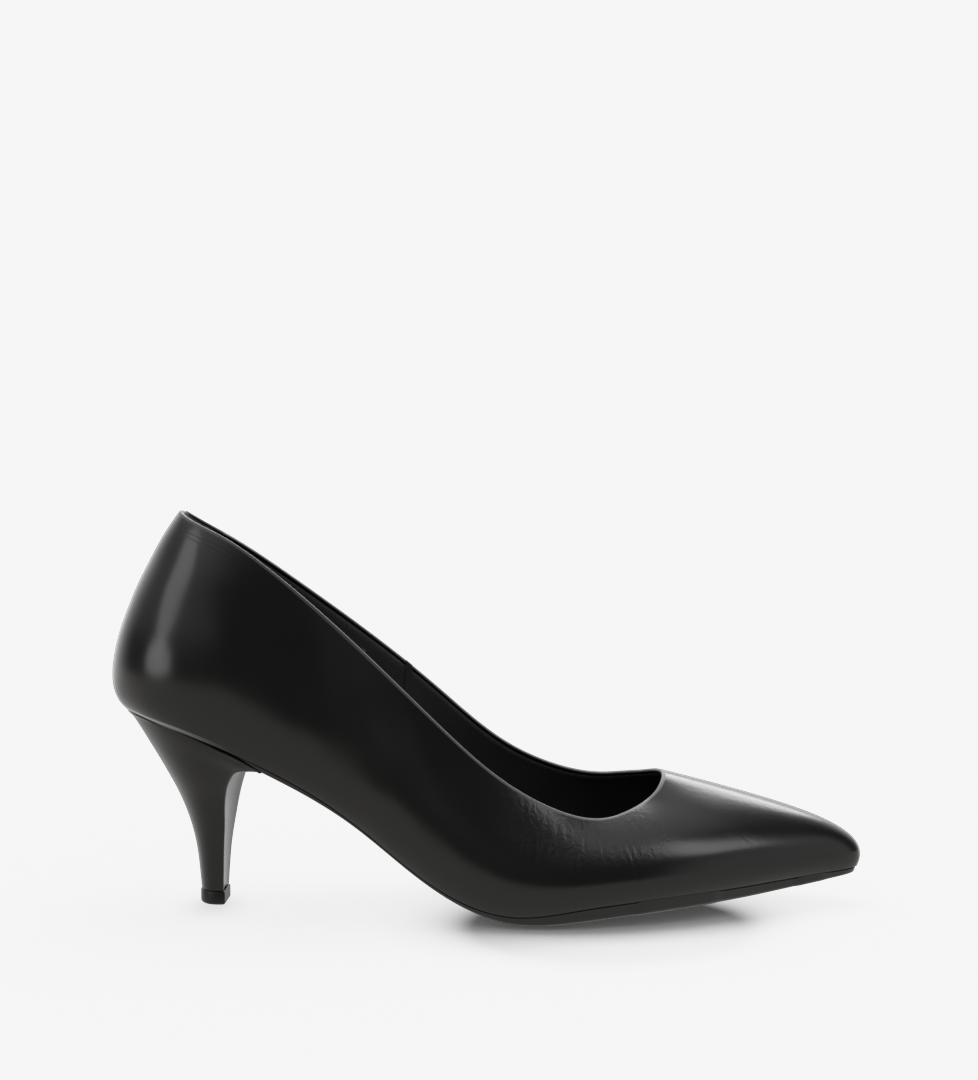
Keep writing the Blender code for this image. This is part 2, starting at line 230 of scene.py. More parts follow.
# Creases of the vamp: place is a share of the way round the shoe, top and bottom are how far below the
# rim the crease fades out, lean is its drift towards the toe for each millimetre down, and depth and
# width are its trough, in millimetres.
Crease = namedtuple("Crease", "place top bottom lean depth width")
CREASES = [Crease(*row) for row in (
    (0.2770, 7.0, 15.0, 0.10, 0.05, 1.5),
    (0.2862, 5.0, 12.0, 0.02, 0.06, 1.0),
    (0.2925, 10.0, 20.0, -0.06, 0.08, 0.9),
    (0.2986, 6.0, 17.0, 0.05, 0.07, 1.0),
    (0.3040, 8.0, 14.0, -0.10, 0.07, 0.8),
    (0.3098, 4.0, 13.0, 0.08, 0.05, 0.9),
    (0.3150, 13.0, 22.0, 0.00, 0.08, 0.9),
    (0.3207, 5.0, 15.0, -0.04, 0.09, 0.8),
    (0.3262, 4.0, 10.0, 0.12, 0.07, 0.7),
    (0.3318, 4.0, 13.0, 0.03, 0.08, 0.8),
    (0.3386, 6.0, 12.0, -0.12, 0.07, 0.9),
    (0.3452, 9.0, 17.0, 0.06, 0.06, 0.9),
    (0.3500, 15.0, 23.0, 0.10, 0.06, 1.0),
    (0.3545, 7.0, 15.0, -0.05, 0.06, 1.0),
    (0.3650, 6.0, 13.0, 0.05, 0.04, 1.3),
    (0.4357, 33.0, 40.0, -0.30, 0.030, 1.4),
    (0.4614, 45.0, 51.0, -0.30, 0.030, 1.2),
)]
CREASE_FADE = 3.5
CREASE_SINK = 0.6
MEDIAL_SHIFT = 2.4

# Pressed lines under the topline at the back: shares of the way round where each starts and stops, how
# far below the rim it lies there, and its depth in millimetres.
PressedLine = namedtuple("PressedLine", "start stop first_drop last_drop depth")
PRESSED_LINES = (
    PressedLine(0.028, 0.076, 3.3, 3.7, 0.030),
    PressedLine(0.032, 0.070, 4.8, 5.6, 0.035),
    PressedLine(0.079, 0.093, 8.2, 9.8, 0.045),
)
PRESSED_BAND = (-0.05, 0.05, 0.4)
PRESSED_SOFT = 4.0

# Slow unevenness of stretched leather: length round the shoe, length down the wall, phase and height.
Wave = namedtuple("Wave", "round_length down_length phase height")
WAVES = (
    Wave(31.0, 47.0, 0.4, 0.040),
    Wave(19.0, -29.0, 1.9, 0.026),
    Wave(43.0, 17.0, 3.1, 0.030),
)
WAVES_FADE = (0.20, 0.28)
WAVES_DROP = (2.0, 12.0)

# Marks in the upper's leather. Places round the shoe are shares, and bands are start, stop and soft edge in
# millimetres: the flexing marks below the rim, the fold at the rim with a painted highlight, fainter round
# the back, and a painted highlight along the lower edge over the heel. FLEX_STRETCH draws the flexing lines
# out down the wall.
FLEX_ROUND = (0.285, 0.375)
FLEX_SOFT = 18.0
FLEX_BAND = (4.0, 15.0, 9.0)
FLEX_STRETCH = (0.50, 0.17, 1.0)
TOE_ROUND = (0.38, 0.46)
FOLD_BAND = (-0.4, 1.05, 0.4)
# Painted highlight on the fold at the rim: where it grows to full round the shoe, and its paler colour.
FOLD_HIGHLIGHT_ROUND = (0.14, 0.27)
FOLD_PAINTED_HIGHLIGHT = (0.05, 0.05, 0.049)
# Painted highlight along the upper's lower edge over the heel: its band, its fade along the shoe, and its
# paler colour.
SEAT_HIGHLIGHT_BAND = (0.0, 0.9, 0.5)
SEAT_HIGHLIGHT_FADE = (12.0, 54.0)
SEAT_PAINTED_HIGHLIGHT = (0.23, 0.23, 0.225)

# Relief of leather in millimetres, and the darkest and palest tones of lining and rubber as shares.
GRAIN_DEPTH = 0.004
SPECK_DEPTH = 0.002
LINE_DEPTH = 0.06
MOTTLE_DEPTH = 0.09
TOE_MOTTLE_DEPTH = 0.03
LINING_TONES = ((0.6, 0.6, 0.61), (1.4, 1.38, 1.36))
RUBBER_TONES = ((0.7, 0.7, 0.7), (1.3, 1.3, 1.26))


def column(table, name):
    """A named column of a table as an array."""
    return np.array([getattr(row, name) for row in table.values()])


def around(along, lateral, medial, lateral_height, medial_height):
    """Section values as one closed ring of points: heel, lateral side, toe, medial side."""
    lateral_side = np.stack([along, -lateral, lateral_height], axis=1)
    medial_side = np.stack([along, medial, medial_height], axis=1)
    return np.concatenate([lateral_side, medial_side[-2:0:-1]])


def control_rings():
    """The four rings that shape the upper's wall: foot, foot pull, rim pull and rim."""
    plan = {"along": LENGTH, "lateral": BALL_WIDTH, "medial": BALL_WIDTH}
    along, near, far = (column(FEATHER, name) * size for name, size in plan.items())
    rim_along, rim_near, rim_far = (column(TOPLINE, name) * size for name, size in plan.items())
    seam = column(FEATHER, "seam") * HEEL_HEIGHT
    near_top = column(TOPLINE, "lateral_top") * TOP_HEIGHT
    far_top = column(TOPLINE, "medial_top") * TOP_HEIGHT
    sweep, flare, rise, rim_sweep, rim_flare, drop = (column(SWELL, name) for name in Swell._fields)
    foot = around(along, near, far, seam, seam)
    foot_pull = around(along + sweep, near + flare, far + flare, seam + rise, seam + rise)
    rim_pull = around(
        rim_along + rim_sweep, rim_near + rim_flare, rim_far + rim_flare, near_top - drop, far_top - drop
    )
    rim = around(rim_along, rim_near, rim_far, near_top, far_top)
    return foot, foot_pull, rim_pull, rim


def ring_knots(ring):
    """Distance round a closed ring at each point, and its whole length."""
    steps = np.linalg.norm(np.roll(ring, -1, axis=0) - ring, axis=1)
    return np.concatenate([[0.0], np.cumsum(steps)])


def closed_spline(knots, values, where):
    """Smooth closed curve through values at knots, read at where."""
    count = len(values)
    spans = np.diff(knots)
    slopes = (np.roll(values, -1, axis=0) - values) / spans[:, None]
    before = np.roll(spans, 1)
    own = np.eye(count)
    system = np.diag(2.0 * (before + spans))
    system += before[:, None] * np.roll(own, -1, axis=1) + spans[:, None] * np.roll(own, 1, axis=1)
    bends = np.linalg.solve(system, 6.0 * (slopes - np.roll(slopes, 1, axis=0)))
    where = np.mod(where, knots[-1])
    i = np.clip(np.searchsorted(knots, where, side="right") - 1, 0, count - 1)
    span = spans[i][:, None]
    right = (where - knots[i])[:, None]
    left = span - right
    following = (i + 1) % count
    curved = (bends[i] * left**3 + bends[following] * right**3) / (6.0 * span)
    straight_left = (values[i] / span - bends[i] * span / 6.0) * left
    straight_right = (values[following] / span - bends[following] * span / 6.0) * right
    return curved + straight_left + straight_right


def unit(vectors):
    """Vectors made one long."""
    return vectors / np.linalg.norm(vectors, axis=-1)[..., None]


class Last:
    """The shoe's wall and feather line, read anywhere round the shoe."""

    def __init__(self):
        self.rings = control_rings()
        self.knots = ring_knots(self.rings[0])
        self.girth = self.knots[-1]

    def foot(self, where):
        """Feather line points."""
        return closed_spline(self.knots, self.rings[0], where)

    def section_value(self, wanted, where):
        """A feather table column read between its sections, the same on both sides."""
        values = column(FEATHER, wanted)
        ring = np.concatenate([values, values[-2:0:-1]])
        return closed_spline(self.knots, ring[:, None], where)[:, 0]

    def controls(self, where):
        """Points of the four rings at places round the shoe."""
        return [closed_spline(self.knots, ring, where) for ring in self.rings]

    def wall(self, where, rise):
        """Outer wall points: where round the shoe, rise from 0 at the foot to 1 at the rim."""
        foot, foot_pull, rim_pull, rim = self.controls(where)
        rise = np.asarray(rise)[:, None]
        fall = 1.0 - rise
        return (
            fall**3 * foot
            + 3.0 * fall**2 * rise * foot_pull
            + 3.0 * fall * rise**2 * rim_pull
            + rise**3 * rim
        )

    def wall_outward(self, where, rise):
        """Directions square out of the wall."""
        step = 0.2
        lean = 0.002
        low = np.clip(np.asarray(rise) - lean, 0.0, 1.0)
        high = np.clip(np.asarray(rise) + lean, 0.0, 1.0)
        round_way = self.wall(where + step, rise) - self.wall(where - step, rise)
        up_way = self.wall(where, high) - self.wall(where, low)
        return unit(np.cross(round_way, up_way))

    def end_ways(self, where):
        """Directions up the wall at its foot and its rim, each with the wall's speed there."""
        foot, foot_pull, rim_pull, rim = self.controls(where)
        low = 3.0 * (foot_pull - foot)
        high = 3.0 * (rim - rim_pull)
        low_speed = np.linalg.norm(low, axis=1)
        high_speed = np.linalg.norm(high, axis=1)
        return low / low_speed[:, None], low_speed, high / high_speed[:, None], high_speed


def bend(points):
    """Points of the straight last moved onto the foot's curve."""
    points = np.asarray(points, float)
    past = points[..., 0] - SWING_STATION
    slope = past / SWING_RADIUS
    square = np.sqrt(1.0 + slope**2)
    along = points[..., 0] - points[..., 1] * slope / square
    across = past * slope / 2.0 + points[..., 1] / square
    return np.stack([along, across, points[..., 2]], axis=-1)


def frame_shift(last):
    """The move from the last's own places to the part's frame: the middle of the solids' box."""
    parts = np.arange(SOLID_COLUMNS) / SOLID_COLUMNS
    stations = (last.knots[:-1, None] + np.diff(last.knots)[:, None] * parts).ravel()
    rises = np.linspace(0.0, 1.0, SOLID_RISES)
    where, rise = (grid.ravel() for grid in np.meshgrid(stations, rises, indexing="ij"))
    corners = bend(last.wall(where, rise))
    middle = (corners.min(axis=0) + corners.max(axis=0)) / 2.0
    return np.array([-middle[0], -middle[1], 0.0])


LAST = Last()
SHIFT = frame_shift(LAST)


def in_frame(points):
    """Places on the straight last as metres in the part's frame."""
    return (bend(points) + SHIFT) * MM


def meshed(name, shape):
    """A new mesh from a shape, which is used up."""
    mesh = bpy.data.meshes.new(name)
    shape.to_mesh(mesh)
    shape.free()
    return mesh


def wrap(name, points, plans=None, sharp=None):
    """A grid laid on rows of points with its meeting edges joined. plans has places by UV map name."""
    rows, columns = points.shape[:2]
    shape = bmesh.new()
    bmesh.ops.create_grid(shape, x_segments=columns - 1, y_segments=rows - 1, size=1.0)
    mesh = meshed(name, shape)
    mesh.vertices.foreach_set("co", in_frame(points).astype(np.float32).ravel())
    corners = np.zeros(len(mesh.loops), np.int32)
    mesh.loops.foreach_get("vertex_index", corners)
    for title, plan in (plans or {}).items():
        layer = mesh.uv_layers.new(name=title)
        layer.data.foreach_set("uv", plan.reshape(-1, 2)[corners].astype(np.float32).ravel())
    shape = bmesh.new()
    shape.from_mesh(mesh)
    bmesh.ops.remove_doubles(shape, verts=shape.verts, dist=MERGE)
    bmesh.ops.dissolve_degenerate(shape, edges=shape.edges, dist=MERGE)
    bmesh.ops.recalc_face_normals(shape, faces=shape.faces)
    shape.to_mesh(mesh)
    shape.free()
    return settle(name, mesh, sharp)


def settle(name, mesh, sharp=None):
    """A named, smooth-shaded object of the scene from a finished mesh."""
    mesh.shade_smooth()
    if sharp is not None:
        mesh.set_sharp_from_angle(angle=math.radians(sharp))
    piece = bpy.data.objects.new(name, mesh)
    bpy.context.scene.collection.objects.link(piece)
    return piece


def columns_round():
    """The upper's columns round the shoe, closer together over the creased vamp."""
    low, high = CREASED_SHARE
    marks = np.array([0.0, low, high, 1.0 - high, 1.0 - low, 1.0]) * LAST.girth
    steps = (PLAIN_STEP, CREASED_STEP, PLAIN_STEP, CREASED_STEP, PLAIN_STEP)
    runs = []
    for start, stop, step in zip(marks, marks[1:], steps):
        count = int(math.ceil((stop - start) / step))
        runs.append(np.linspace(start, stop, count, endpoint=False))
    return np.concatenate(runs + [marks[-1:]])


def ease(value, start, stop):
    """0 before start, 1 after stop, and a smooth climb between them."""
    share = np.clip((value - start) / (stop - start), 0.0, 1.0)
    return share * share * (3.0 - 2.0 * share)


def window(value, start, stop, soft):
    """1 between start and stop, fading smoothly to 0 over the soft distance outside them."""
    return ease(value, start - soft, start) * (1.0 - ease(value, stop, stop + soft))


def leather_relief(where, below):
    """How far the leather stands out, in millimetres. below is the way down from the rim."""
    relief = np.zeros_like(below)
    for wave in WAVES:
        turn = 2.0 * math.pi * (where / wave.round_length + below / wave.down_length) + wave.phase
        relief += wave.height * np.sin(turn)
    side = np.minimum(where, LAST.girth - where + MEDIAL_SHIFT)
    share = side / LAST.girth
    relief *= ease(below, *WAVES_DROP) * (1.0 - ease(share, *WAVES_FADE))
    for crease in CREASES:
        middle = (crease.top + crease.bottom) / 2.0
        line = crease.place * LAST.girth + crease.lean * (below - middle)
        off = (side - line) / crease.width
        trough = (off**2 - CREASE_SINK) * np.exp(-(off**2))
        relief += crease.depth * trough * window(below, crease.top, crease.bottom, CREASE_FADE)
    return relief


def running_length(section):
    """Length along each section from its first point."""
    steps = np.linalg.norm(np.diff(section, axis=1), axis=2)
    return np.concatenate([np.zeros((len(section), 1)), np.cumsum(steps, axis=1)], axis=1)


def rises_between(start, stop, shares):
    """A row of rises from start to stop for each place round the shoe."""
    return start[:, None] + (stop - start)[:, None] * shares


def wall_grid(where, rises):
    """Wall points and outward directions for each place and its row of rises."""
    places = np.repeat(where, rises.shape[1]), rises.ravel()
    size = (*rises.shape, 3)
    return LAST.wall(*places).reshape(size), LAST.wall_outward(*places).reshape(size)


def arc(hub, radius, turns, first, second):
    """Points on arcs round hubs, turning from the first direction to the second."""
    swing = np.cos(turns)[:, None] * first[:, None] + np.sin(turns)[:, None] * second[:, None]
    return hub[:, None] + radius * swing


def make_leather():
    """The outer leather: from under the feather line up the wall, and folded in over the topline."""
    where = columns_round()
    low_way, low_speed, high_way, high_speed = LAST.end_ways(where)
    start = FOOT_ROLL / low_speed
    stop = 1.0 - FOLD / 2.0 / high_speed
    outer, outward = wall_grid(where, rises_between(start, stop, np.linspace(0.0, 1.0, WALL_ROWS)))
    run = running_length(outer)
    below = run[:, -1:] - run + FOLD
    relief = leather_relief(where[:, None], below)
    faced = outer + outward * relief[..., None]
    foot_out = outward[:, 0]
    rim_out = outward[:, -1]
    quarter = np.linspace(-0.5 * math.pi, 0.0, ROLL_ROWS, endpoint=False)
    roll = arc(faced[:, 0] - FOOT_ROLL * foot_out, FOOT_ROLL, quarter, foot_out, low_way)
    half = np.linspace(0.0, math.pi, 2 * ROLL_ROWS + 1)[1:]
    fold = arc(faced[:, -1] - FOLD / 2.0 * rim_out, FOLD / 2.0, half, rim_out, high_way)
    fold_end = fold[:, -1:] - FOLD_REACH * high_way[:, None]
    hidden_top = stop - 2.0 * FOLD_REACH / high_speed
    hidden_rises = rises_between(start, hidden_top, np.linspace(1.0, 0.0, HIDDEN_ROWS))
    hidden, hidden_out = wall_grid(where, hidden_rises)
    hidden = hidden - LEATHER * hidden_out
    section = np.concatenate([roll, faced, fold, fold_end, hidden, roll[:, :1]], axis=1)
    heights = running_length(section)
    plans = {}
    for title, row in (("RimMap", ROLL_ROWS + WALL_ROWS - 1), ("FootMap", ROLL_ROWS)):
        above = heights - heights[:, row, None]
        plan = np.stack(np.broadcast_arrays(where[:, None], above), axis=2)
        plans[title] = plan.transpose(1, 0, 2)
    return wrap("upper_leather", section.transpose(1, 0, 2), plans)


def make_lining():
    """The lining: a thin closed layer inside the leather, its cut top edge just under the fold."""
    where = np.linspace(0.0, LAST.girth, LINING_COLUMNS + 1)
    _, low_speed, high_way, high_speed = LAST.end_ways(where)
    start = 2.0 * GAP / low_speed
    stop = 1.0 - (FOLD / 2.0 + LINING_DROP) / high_speed
    wall, outward = wall_grid(where, rises_between(start, stop, np.linspace(0.0, 1.0, LINING_ROWS)))
    back = wall - LINING_START * outward
    front = wall - WALL * outward
    crown = LINING_CROWN * (WALL - LINING_START)
    top = (back[:, -1:] + front[:, -1:]) / 2.0 + crown * high_way[:, None]
    section = np.concatenate([back, top, front[:, ::-1], back[:, :1]], axis=1)
    return wrap("lining", section.transpose(1, 0, 2))


def side_pairs(steps):
    """Places along the lateral side, heel to toe, and their partners on the medial side."""
    toe = LAST.knots[list(FEATHER).index("toe")]
    lateral = np.linspace(0.0, toe, steps + 1)
    medial = LAST.girth - lateral * (LAST.girth - toe) / toe
    return lateral, medial


def inset_foot(where, inset, height):
    """Feather line points drawn in level by inset and set to a height."""
    step = 0.2
    points = LAST.foot(where)
    ahead = LAST.foot(where + step) - LAST.foot(where - step)
    inward = unit(np.stack([-ahead[:, 1], ahead[:, 0]], axis=1))
    points[:, :2] += inward * np.reshape(inset, (-1, 1))
    points[:, 2] = height
    return points


def slab(name, edge_rows, top_height, under_height):
    """A sole-like layer: edge_rows(where) gives its edge from top to bottom, and its faces run from there
    to the middle line at the given heights over the edge."""
    lateral, medial = side_pairs(SLAB_STEPS)
    where = np.concatenate([lateral, medial[-2::-1]])
    edge = edge_rows(where)
    partner = edge[::-1]
    middle = (edge + partner) / 2.0
    shares = np.linspace(0.0, 1.0, SLAB_ROWS, endpoint=False)
    faces = []
    for row, height in ((0, top_height), (-1, under_height)):
        run = middle[:, row, None] + shares[:, None] * (edge[:, row] - middle[:, row])[:, None]
        own = edge[:, row, None, 2] + height(where, shares)
        run[:, :, 2] = (own + own[::-1]) / 2.0 + shares * (own - own[::-1]) / 2.0
        faces.append(run)
    section = np.concatenate([faces[0], edge, faces[1][:, ::-1]], axis=1)
    rows = section.transpose(1, 0, 2)
    return wrap(name, rows, {"UVMap": rows[:, :, :2]}, SHARP)


def lip_share(along):
    """How fully the heel's lip stands along the shoe: 1 round the back of the seat, 0 in front."""
    return 1.0 - ease(along, *LIP_FADE)


def joint_opening(along):
    """Width of the joint between upper and sole at places along the shoe."""
    opening = np.full(len(along), JOINT_OPEN)
    for start, stop in TIGHT_RUNS:
        shut = window(along / LENGTH, start, stop, TIGHT_FADE)
        opening += shut * (JOINT_SHUT - JOINT_OPEN)
    return opening


def sole_edge(where):
    """The sole's edge: a groove, then a slope to a rounded corner, all drawn in behind the heel's lip."""
    thickness = LAST.section_value("edge", where)
    along, _, seam = LAST.foot(where).T
    joint = joint_opening(along)
    tuck = joint + LIP_INSET * lip_share(along)
    groove = (np.minimum(joint, JOINT_TOUCH), joint)
    rows = [inset_foot(where, tuck + JOINT_DEPTH, seam - drop) for drop in groove]
    for share in np.linspace(0.0, 1.0, SOLE_EDGE_ROWS):
        past = max(share - 1.0 + SOLE_ROUNDING, 0.0) / SOLE_ROUNDING
        turned_in = SOLE_ROUNDING * (1.0 - math.sqrt(1.0 - past**2))
        inset = tuck + thickness * (SOLE_SLOPE * share + turned_in)
        rows.append(inset_foot(where, inset, seam - (joint + share * (thickness - joint))))
    rows = np.stack(rows, axis=1)
    rows[:, :, 2] = np.maximum(rows[:, :, 2], 0.0)
    return rows


def flat_face(where, shares):
    """Heights over the edge for a face that lies level across the shoe."""
    return np.zeros((len(where), len(shares)))


def crowned_face(where, shares):
    """Heights over the edge for the sole's underside, lower in the middle but not below the floor."""
    seam = LAST.foot(where)[:, 2]
    thickness = LAST.section_value("edge", where)
    crown = LAST.section_value("crown", where)
    edge = np.maximum(seam - thickness, 0.0)
    drop = seam[:, None] - thickness[:, None] - crown[:, None] * (1.0 - shares**2)
    return np.maximum(drop, 0.0) - edge[:, None]


def make_sole():
    """The full-length outsole, thin under the heel and arch and thicker in front."""
    return slab("sole", sole_edge, flat_face, crowned_face)


def insole_edge(where):
    """The insole's edge: a small round at its top, and a skirt that runs out into the upper's wall."""
    base = LAST.foot(where)[:, 2]
    inset = WALL - INSOLE_TUCK
    rows = []
    for turn in np.linspace(0.0, 0.5 * math.pi, ROUND_STEPS):
        height = base + INSOLE_THICKNESS - INSOLE_ROUNDING * (1.0 - math.cos(turn))
        rows.append(inset_foot(where, inset + INSOLE_ROUNDING * (1.0 - math.sin(turn)), height))
    for edge, height in ((inset, INSOLE_ROUNDING), *INSOLE_SKIRT):
        rows.append(inset_foot(where, edge, base + height))
    return np.stack(rows, axis=1)


def make_insole():
    """The insole with its sock, level across the shoe."""
    return slab("insole_sock", insole_edge, flat_face, flat_face)


def heel_outline():
    """The seat's outline as shares, its breast corners rounded: along from rear to breast, and side."""
    reach = LAST.knots[list(FEATHER).index("breast")]
    lateral = reach * np.linspace(0.0, 1.0, SEAT_COLUMNS + 1)
    sides = [LAST.foot(places)[:, :2] for places in (lateral, LAST.girth - lateral)]
    rear = sides[0][:, 0].min()
    depth = sides[0][-1, 0] - rear
    width = np.abs(sides[0][:, 1]).max()
    near, far = ((side - [rear, 0.0]) / [depth, width] for side in sides)
    across = np.linspace(0.0, 1.0, BREAST_COLUMNS + 1)[1:-1, None]
    front = near[-1] + across * (far[-1] - near[-1])
    ring = np.concatenate([near, front, far[::-1]])
    return round_corners(ring, (near[-1], far[-1]))


def round_corners(ring, corners):
    """A ring of points with each named corner cut to a soft arc."""
    made = ring.copy()
    for corner in corners:
        off = np.linalg.norm(ring - corner, axis=1)
        near = np.clip(1.0 - off / BREAST_CORNER, 0.0, 1.0)
        inward = unit(BREAST_AIM - corner)
        made += BREAST_PULL * BREAST_CORNER * (near**2)[:, None] * inward
    return made[:, 0], made[:, 1]


def smooth_rows(rows, steps):
    """Rows with more rows set between them, along a smooth curve through them."""
    rows = np.array(rows)
    padded = np.concatenate([2.0 * rows[:1] - rows[1:2], rows, 2.0 * rows[-1:] - rows[-2:-1]])
    made = []
    for before, start, stop, after in zip(padded, padded[1:], padded[2:], padded[3:]):
        for t in np.arange(steps) / steps:
            pull = (stop - before) * (t - 2.0 * t**2 + t**3) / 2.0
            push = (after - start) * (t**3 - t**2) / 2.0
            made.append(start + (stop - start) * (3.0 * t**2 - 2.0 * t**3) + pull + push)
    return np.array(made + [rows[-1]])


def lateral_line():
    """Places along the lateral side, and the feather line's points there."""
    lateral, _ = side_pairs(SLAB_STEPS)
    return lateral, LAST.foot(lateral)


def seat_height(along):
    """Height of the heel's top under the sole, read from the feather line."""
    lateral, line = lateral_line()
    under = line[:, 2] - 2.0 * GAP
    under -= LAST.section_value("edge", lateral) + LAST.section_value("crown", lateral)
    return np.interp(along, line[:, 0], under)


def feather_height(along):
    """Height of the upper's lower edge at a place along the shoe."""
    _, line = lateral_line()
    return np.interp(along, line[:, 0], line[:, 2])


def drawn_in(ring, distance):
    """A closed ring of points moved level towards its inside by a distance for each point."""
    loop = ring[:-1]
    ahead = np.roll(loop, -1, axis=0) - np.roll(loop, 1, axis=0)
    inward = unit(np.stack([-ahead[:, 1], ahead[:, 0]], axis=1))
    moved = loop.copy()
    moved[:, :2] += inward * distance[:-1, None]
    return np.concatenate([moved, moved[:1]])


def lip_top(along):
    """Height of the lip: just under the upper round the back, falling to the sole's underside in front."""
    under = seat_height(along)
    gap = LIP_GAP[0] + (LIP_GAP[1] - LIP_GAP[0]) * ease(along, *LIP_GAP_RUN)
    return under + lip_share(along) * (feather_height(along) - gap - under)


def seat_rings(seat):
    """The lip round the top of the heel, from the floor inside it up to its edge."""
    under = seat_height(seat[:, 0])
    stands = lip_share(seat[:, 0])
    top = seat[:, 2]
    thick = LIP_LEAST + (LIP_INSET - LIP_CLEAR) * stands
    rings = []
    for inset, height in ((thick, under), (thick, top - LIP_BEVEL * stands), (LIP_TAPER * stands, top)):
        ring = drawn_in(seat, inset)
        ring[:, 2] = height
        rings.append(ring)
    shoulder = seat.copy()
    shoulder[:, 2] = top - LIP_BAND * stands
    return rings + [shoulder]


def make_heel():
    """The covered heel block: a lip round its seat, a flared neck, a slim stem and a hollowed breast."""
    along, side = heel_outline()
    rings = []
    for step, row in enumerate(smooth_rows(list(HEEL.values()), HEEL_STEPS)):
        level = HeelLevel(*row)
        x = level.rear + along * (level.breast - level.rear + level.turn * side)
        on_breast = np.clip((along - BREAST_START) / BREAST_RUN, 0.0, 1.0)
        x -= on_breast * level.hollow * (1.0 - side**2)
        height = level.rear_height + along * (level.breast_height - level.rear_height)
        if step == 0:
            sag = lip_top(x) - height
        height += sag * (1.0 - ease(step / HEEL_STEPS, *SAG_FADE))
        rings.append(np.stack([x, side * level.half_width, height], axis=1))
    rings = seat_rings(rings[0]) + rings[LIP_ROWS:]
    return wrap("heel_cover", capped(np.array(rings)), sharp=SHARP)


def capped(rings):
    """Rings closed at both ends by shrinking each end ring onto its middle line."""
    made = list(rings)
    for end in (0, -1):
        ring = rings[end]
        flat = (ring + ring[::-1]) / 2.0
        caps = [ring + share * (flat - ring) for share in CAP_SHARES]
        made = caps[::-1] + made if end == 0 else made + caps
    return np.array(made)


def make_lift():
    """The heel's wear piece with rounded edges, a little proud of the tip."""
    along, side = heel_outline()
    tip = HEEL["tip"]
    middle = (tip.rear + tip.breast) / 2.0
    top = tip.rear_height - GAP
    levels = []
    for turn in np.linspace(0.5 * math.pi, 0.0, ROUND_STEPS):
        levels.append((LIFT_CORNER * (1.0 - math.sin(turn)), LIFT_CORNER * (1.0 - math.cos(turn))))
    levels += [(top - drop, inset) for drop, inset in LIFT_TOP_EDGE]
    rings = []
    for height, inset in levels:
        reach = (tip.breast - tip.rear) / 2.0 + LIFT_OVERHANG - inset
        x = middle + (2.0 * along - 1.0) * reach
        y = side * (tip.half_width + LIFT_OVERHANG - inset)
        rings.append(np.stack([x, y, np.full(len(x), height)], axis=1))
    return wrap("heel_lift", capped(np.array(rings)), sharp=SHARP)


def lining_line(where, drop):
    """Places on the lining a given distance below the rim, in the part's frame, and a step off its face."""
    _, _, _, speed = LAST.end_ways(where)
    rise = 1.0 - drop / speed
    outward = LAST.wall_outward(where, rise)
    face = LAST.wall(where, rise) - WALL * outward
    return in_frame(face), in_frame(face - outward)


def even_places(drop, pitch):
    """Places round the shoe a pitch apart along a line on the lining, drop below the rim."""
    fine = np.linspace(0.0, LAST.girth, FINE_PLACES)
    line, _ = lining_line(fine, drop)
    run = running_length(line[None] / MM)[0]
    count = int(run[-1] / pitch)
    return np.interp((np.arange(count) + 0.5) * run[-1] / count, run, fine)


def make_stitches():
    """The row of stitches that holds the lining under the topline."""
    step = 0.1
    where = even_places(STITCH_DROP, STITCH_PITCH)
    spots, off = lining_line(where, STITCH_DROP)
    behind, _ = lining_line(where - step, STITCH_DROP)
    ahead, _ = lining_line(where + step, STITCH_DROP)
    shape = bmesh.new()
    for spot, run, face in zip(spots, unit(ahead - behind), unit(off - spots)):
        across = np.cross(face, run)
        lengths = (STITCH_LENGTH / 2.0, STITCH_RADIUS, STITCH_RADIUS)
        stitch = Matrix.Identity(4)
        for axis, (way, length) in enumerate(zip((run, across, face), lengths)):
            stitch.col[axis].xyz = way * length * MM
        stitch.translation = spot
        bmesh.ops.create_uvsphere(shape, u_segments=6, v_segments=4, radius=1.0, matrix=stitch)
    bmesh.ops.recalc_face_normals(shape, faces=shape.faces)
    return settle("lining_stitches", meshed("lining_stitches", shape))


def rises_below(where, drops):
    """Rises of the wall's points at the given distances down the wall from the rim."""
    fine = np.linspace(1.0, 0.0, WALL_ROWS)
    wall, _ = wall_grid(where, np.tile(fine, (len(where), 1)))
    return np.stack([np.interp(drop, run, fine) for drop, run in zip(drops, running_length(wall))])


def inner_patch(name, where, over, bottom, thickness):
    """A thin layer on the lining that stands over the rim and runs down to bottom, given for each place."""
    drops = (bottom + over)[:, None] * np.linspace(0.0, 1.0, PATCH_ROWS) - over
    _, _, high_way, _ = LAST.end_ways(where)
    wall, outward = wall_grid(where, rises_below(where, drops))
    above = np.maximum(-drops, 0.0)[..., None] * high_way[:, None]
    back = wall + above - (WALL - PATCH_SINK) * outward
    front = back - thickness * outward
    section = np.concatenate([back, front[:, ::-1], back[:, :1]], axis=1)
    middle = (back + front) / 2.0
    closed = np.concatenate([middle, middle[:, ::-1], middle[:, :1]], axis=1)
    section = np.concatenate([closed[:1], section, closed[-1:]])
    return wrap(name, section.transpose(1, 0, 2), sharp=SHARP)


def make_heel_grip():
    """The nap patch inside the back of the shoe, with round lower corners."""
    share = np.linspace(-1.0, 1.0, GRIP_COLUMNS)
    bottom = GRIP_DEPTH * np.sqrt(np.maximum(1.0 - share**GRIP_POWER, GRIP_LEAST))
    return inner_patch("heel_grip", share * GRIP_REACH * LAST.girth, GRIP_OVER, bottom, GRIP_THICKNESS)


